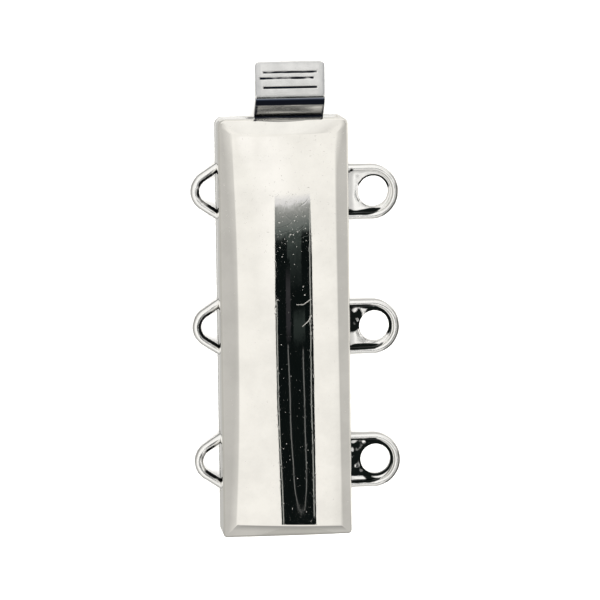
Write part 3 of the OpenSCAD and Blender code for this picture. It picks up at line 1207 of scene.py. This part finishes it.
def silver(name, colour, rough, haze, tarnish_and_shade_colour, patchy, streak=1.0, painted_shade=GREY, marks=(), dust=0):
    """Silver plate: a mirror with soft haze, hairline scratches, tarnish and painted shade.

    The numbers that tint() kept say where it is tarnished, where painted shade and painted
    reflection darken it, and where painted shade makes it greyer. Marks are lines where the polish
    is scratched dull, and dust is how much denser the specks grow.
    """
    mat = bpy.data.materials.new(name)
    tree = Tree(mat)
    place = tree.place()
    dull = tuple(c * (1 - haze) for c in colour)
    plated = tree.ramp(tree.cloud(place, HAZE_SCALE, 5), [(0.36, dull), (0.6, colour)])
    stretched = tree.vector("MULTIPLY", place, (1 / streak, 1, 1))
    ragged = tree.maths("SUBTRACT", tree.cloud(stretched, TARNISH_SCALE, 3), 0.5)
    # Tarnish in the grooves, plus painted shade and painted reflection from the stored numbers,
    # made ragged by noise
    tarnish_and_shade = tree.maths("ADD", tree.stored("tarnish_and_shade"), tree.maths("MULTIPLY", ragged, patchy))
    darkening = tree.share(tarnish_and_shade, 0.35, 0.8)
    # Painted shade: the plating greyed towards a given colour where the stored numbers say
    with_painted_shade = tree.blend(tree.stored("painted_shade"), plated, painted_shade)
    uneven = [(0.35, (rough,) * 3), (0.7, (rough * 2.2,) * 3)]
    gloss = tree.ramp(tree.cloud(place, GLOSS_SCALE, 4), uneven)
    roughness = tree.maths("ADD", gloss, tree.maths("MULTIPLY", darkening, 0.2))
    if dust:
        wear_and_shade = wear(tree, place, marks, dust)
        roughness = tree.maths("ADD", roughness, tree.maths("MULTIPLY", wear_and_shade, WORN_ROUGH))
    tree.fill(tree.nodes["Principled BSDF"], {
        "Base Color": tree.blend(darkening, with_painted_shade, tarnish_and_shade_colour),
        "Metallic": 1.0,
        "Roughness": roughness,
        "Normal": relief(tree, place),
    })
    return mat


def matte(name, inputs):
    """A material without gloss, from the inputs of its shader."""
    mat = bpy.data.materials.new(name)
    tree = Tree(mat)
    tree.fill(tree.nodes["Principled BSDF"], {"Specular IOR Level": 0.0, **inputs})
    return mat


def glow(name, colour):
    """A material that only shines, evenly, in one colour."""
    mat = bpy.data.materials.new(name)
    tree = Tree(mat)
    tree.nodes.clear()
    tree.shine(tree.add("ShaderNodeEmission", {"Color": (*colour, 1)}))
    return mat


def speckled(name, stops, low, high, speckle, clear=0.0):
    """A glow whose colours follow Y between two places, shifted here and there by a speckle.

    Over its last part, the share that clear gives, it fades away to nothing.
    """
    mat = bpy.data.materials.new(name)
    tree = Tree(mat)
    tree.nodes.clear()
    place = tree.place()
    grain = tree.cloud(tree.vector("MULTIPLY", place, (150, 1500, 1)), 1.0, 3, 0.5)
    shifted = tree.maths("ADD", tree.maths("MULTIPLY", grain, speckle), tree.part(place, "Y"))
    share = tree.share(shifted, low + speckle / 2, high + speckle / 2)
    light = tree.add("ShaderNodeEmission", {"Color": tree.ramp(share, stops)})
    if clear:
        fade = tree.share(share, 1 - clear, 0.97)
        nothing = tree.add("ShaderNodeBsdfTransparent", {})
        light = tree.add("ShaderNodeMixShader", {"Fac": fade, 1: light, 2: nothing})
    tree.shine(light)
    return mat


# Stage: the camera, in mm, from a fit to points measured in the photograph
EYE = Vector((-21.17, 29.22, 198.34))
CAM_RIGHT = Vector((0.99349, -0.01156, 0.11336))
CAM_UP = Vector((0.02706, 0.99032, -0.13614))
FOCAL_PX = 3413.0
FRAME_PX = 600

# The stage's tables, with the mirrored ones just under the one that is seen, in metres
TABLE_HALF = 8.0
MIRRORED_HALF = 0.15
MIRRORED_Z = -0.00001

# The world's brightness by height, from the horizon to overhead, and what is added to it
# towards +Y as (from, to, the most)
HORIZON = (0.6, 0.595, 0.58)
OVERHEAD = (1.08, 1.07, 1.06)
SKY_LEVELS = ((0.35, 0.6), (0.66, 0.58), (0.8, 0.76), (0.87, 1.0), (0.95, 1.02), (0.985, 1.0))
SKY_AHEAD = (0.45, 0.75, 0.45)

# What the cover's face mirrors, in metres: a dark card with soft far edges, a strap across it
# and two pale rims
CARD_Z = 0.3
CARD_OUTLINE = (
    (0.0145, -0.0926), (0.104, -0.0956), (0.0985, -0.03), (0.094, -0.008), (0.006, -0.008),
    (0.0035, -0.036), (0.005, -0.062),
)
BLACK = (0.004, 0.006, 0.006)
SHADE = (0.02, 0.026, 0.025)
STRAP = (
    (0.0335, -0.0476), (0.0363, -0.0559), (0.0388, -0.0679), (0.0431, -0.0753),
    (0.0464, -0.0815), (0.0512, -0.0853), (0.0562, -0.0875), (0.0626, -0.0887),
    (0.0692, -0.0887), (0.0745, -0.0877), (0.0775, -0.0841), (0.0778, -0.0792),
    (0.0758, -0.0717), (0.0741, -0.062), (0.0714, -0.0499),
)
CARD_RIMS = (
    ((0.0945, -0.0153), (0.092, -0.027), (0.0925, -0.039), (0.0925, -0.0631),
     (0.0955, -0.0756), (0.098, -0.092)),
    ((0.0071, -0.0367), (0.0076, -0.0461), (0.0084, -0.0602), (0.012, -0.0722),
     (0.0165, -0.0819), (0.0185, -0.0903)),
)


def camera():
    """The photograph's view: from above the clasp, a little to its left and towards the tab."""
    data = bpy.data.cameras.new("camera")
    data.sensor_width = 36
    data.lens = FOCAL_PX / FRAME_PX * data.sensor_width
    data.clip_start, data.clip_end = 0.01, 10
    cam = linked("camera", data)
    back = CAM_RIGHT.cross(CAM_UP)
    matrix = cam.matrix_world.copy()
    for row in range(3):
        matrix[row][0], matrix[row][1], matrix[row][2] = CAM_RIGHT[row], CAM_UP[row], back[row]
        matrix[row][3] = EYE[row] * MM
    cam.matrix_world = matrix
    bpy.context.scene.camera = cam


def stage_piece(name, points, faces, material, seen=False):
    """A flat piece of the stage, in metres, that is either seen or only mirrored."""
    mesh = bpy.data.meshes.new(name)
    mesh.from_pydata(points, [], faces)
    mesh.materials.append(material)
    obj = linked(name, mesh)
    obj.visible_camera = obj.visible_diffuse = seen
    obj.visible_glossy = not seen
    obj.visible_shadow = False


def card(name, outline_xy, z, material, seen=False):
    """A level stage card through its corners."""
    points = [(x, y, z) for x, y in outline_xy]
    stage_piece(name, points, [list(range(len(points)))], material, seen)


def oblong(x, y):
    """The corners of an oblong from its limits along X and Y."""
    return [(x[0], y[0]), (x[1], y[0]), (x[1], y[1]), (x[0], y[1])]


def ribbon(name, line, half_x, half_y, height, material):
    """A thin flat band along a line of (x, y) places, as a stage card, thinner along Y."""
    left, right = [], []
    for k, (x, y) in enumerate(line):
        a, b = line[max(0, k - 1)], line[min(len(line) - 1, k + 1)]
        d = Vector((b[0] - a[0], b[1] - a[1])).normalized()
        left.append((x - d.y * half_x, y + d.x * half_y, height))
        right.append((x + d.y * half_x, y - d.x * half_y, height))
    n = len(line)
    faces = [[k, k + 1, n + k + 1, n + k] for k in range(n - 1)]
    stage_piece(name, left + right, faces, material)


def floor():
    """The pale table, and under it what the silver mirrors: a grey one, with painted shadow on two
    sides.
    """
    half, side = (-TABLE_HALF, TABLE_HALF), (-MIRRORED_HALF, MIRRORED_HALF)
    white = matte("table_white", {"Base Color": (0.93, 0.92, 0.9, 1), "Roughness": 0.7})
    grey = matte("table_mirrored", {
        "Base Color": (0.2, 0.197, 0.19, 1),
        "Emission Color": (1, 0.99, 0.96, 1),
        "Emission Strength": 0.5,
    })
    # Glowing cards of painted shadow beside the box's left wall and its near end, seen only in the
    # silver
    painted_shadow = glow("mirrored_painted_shadow", (0.54, 0.535, 0.515))
    left, near = -HALF_W * MM, -HALF_LEN * MM
    card("floor", oblong(half, half), 0.0, white, seen=True)
    card("floor_mirrored", oblong(side, side), MIRRORED_Z, grey)
    card("mirrored_shadow_left", oblong((side[0], left), side), MIRRORED_Z / 2, painted_shadow)
    card("mirrored_shadow_near", oblong((left, side[1]), (side[0], near)), MIRRORED_Z / 2, painted_shadow)


def world():
    """Soft white light from above that fades to a greyer, warmer horizon."""
    studio = bpy.data.worlds.new("studio")
    bpy.context.scene.world = studio
    tree = Tree(studio)
    direction = tree.add("ShaderNodeTexCoord", {}, "Generated")
    levels = [(at, (level, level * 0.99, level * 0.97)) for at, level in SKY_LEVELS]
    stops = [(0.0, HORIZON), *levels, (1.0, OVERHEAD)]
    sky = tree.ramp(tree.part(direction, "Z"), stops)
    ahead = tree.share(tree.part(direction, "Y"), *SKY_AHEAD)
    both = {"Factor": 1.0, "A": sky, "B": ahead}
    colour = tree.add("ShaderNodeMix", both, "Result", data_type="RGBA", blend_type="ADD")
    tree.fill(tree.nodes["Background"], {"Color": colour, "Strength": 1.0})


def lamp():
    """A large soft lamp overhead that lights the table and isn't mirrored in the silver."""
    data = bpy.data.lights.new("overhead", "AREA")
    data.shape = "SQUARE"
    data.size = 0.8
    data.energy = 16.0
    obj = linked("overhead", data)
    obj.location = (-0.05, 0.05, 0.9)
    obj.visible_glossy = False


def face_cards():
    """The dark thing above the table, and the fine lines in it, that the polished face mirrors."""
    stops = [
        (0, BLACK), (0.08, BLACK), (0.2, (0.13, 0.15, 0.145)), (0.5, (0.28, 0.29, 0.285)),
        (0.6, (0.45, 0.46, 0.46)), (0.66, (0.78, 0.78, 0.81)), (1, (0.92, 0.92, 0.93)),
    ]
    fading = speckled("card_fading", stops, -0.024, -0.0098, 0.003, clear=0.3)
    card("dark_card", CARD_OUTLINE, CARD_Z, fading)

    stops = [(0, BLACK), (0.5, SHADE), (1, (0.06, 0.075, 0.07))]
    dim = speckled("card_dim", stops, -0.036, -0.02, 0.008)
    card("dim_card", oblong((0.034, 0.07), (-0.0345, -0.0216)), CARD_Z - 0.0005, dim)

    stops = [(0, BLACK), (0.25, SHADE), (0.6, (0.026, 0.034, 0.032)), (1, BLACK)]
    lower = speckled("card_dim_low", stops, -0.0485, -0.039, 0.005)
    card("dim_card_low", oblong((0.048, 0.078), (-0.0485, -0.04)), CARD_Z - 0.0005, lower)

    stops = [
        (0, (0.01, 0.011, 0.012)), (0.25, (0.03, 0.03, 0.034)), (0.7, (0.034, 0.034, 0.038)),
        (1, BLACK),
    ]
    band = speckled("card_band", stops, -0.0475, -0.029, 0.003)
    card("band_card", oblong((0.03, 0.041), (-0.047, -0.0275)), CARD_Z - 0.0006, band)

    near = CARD_Z - 0.001
    ribbon("strap", STRAP, 0.0014, 0.00022, near, glow("card_grey", (0.16, 0.165, 0.165)))
    pale = glow("card_pale", (0.42, 0.43, 0.42))
    for k, line in enumerate(CARD_RIMS):
        ribbon(f"card_rim_{k}", line, 0.0012, 0.0003, near, pale)


# Assembly
COVER_SILVER = silver(
    "cover_silver", (0.9, 0.88, 0.83), rough=0.015, haze=0.08, tarnish_and_shade_colour=(0.02, 0.02, 0.018),
    patchy=0.5, marks=MARKS, dust=0.055,
)
BASE_SILVER = silver(
    "base_silver", (0.97, 0.965, 0.945), rough=0.13, haze=0.06, tarnish_and_shade_colour=(0.008, 0.011, 0.01),
    patchy=0.9, painted_shade=DARK_GREY,
)
TONGUE_SILVER = silver(
    "tongue_silver", (0.97, 0.965, 0.945), rough=0.13, haze=0.06, tarnish_and_shade_colour=(0.008, 0.009, 0.01),
    patchy=0.9, painted_shade=DARK_GREY,
)
LEAF_SILVER = silver(
    "leaf_silver", (0.95, 0.945, 0.92), rough=0.08, haze=0.06, tarnish_and_shade_colour=(0.01, 0.012, 0.02),
    patchy=0.7, streak=6.0, painted_shade=BLUE_BLACK,
)


def dress(objects, body, node):
    """Puts the objects on a body, in the place of a node."""
    for obj in objects:
        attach(obj, body)
        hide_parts(node)


dress([build_cover(COVER_SILVER)], "box", "box_cover")
dress(build_base(BASE_SILVER), "box", "box_base")
dress(build_tongue(TONGUE_SILVER), "tongue", "tongue")
dress([build_leaf(LEAF_SILVER)], "leaf", "spring_leaf")

camera()
floor()
world()
lamp()
face_cards()
bpy.context.scene.view_settings.view_transform = "Standard"
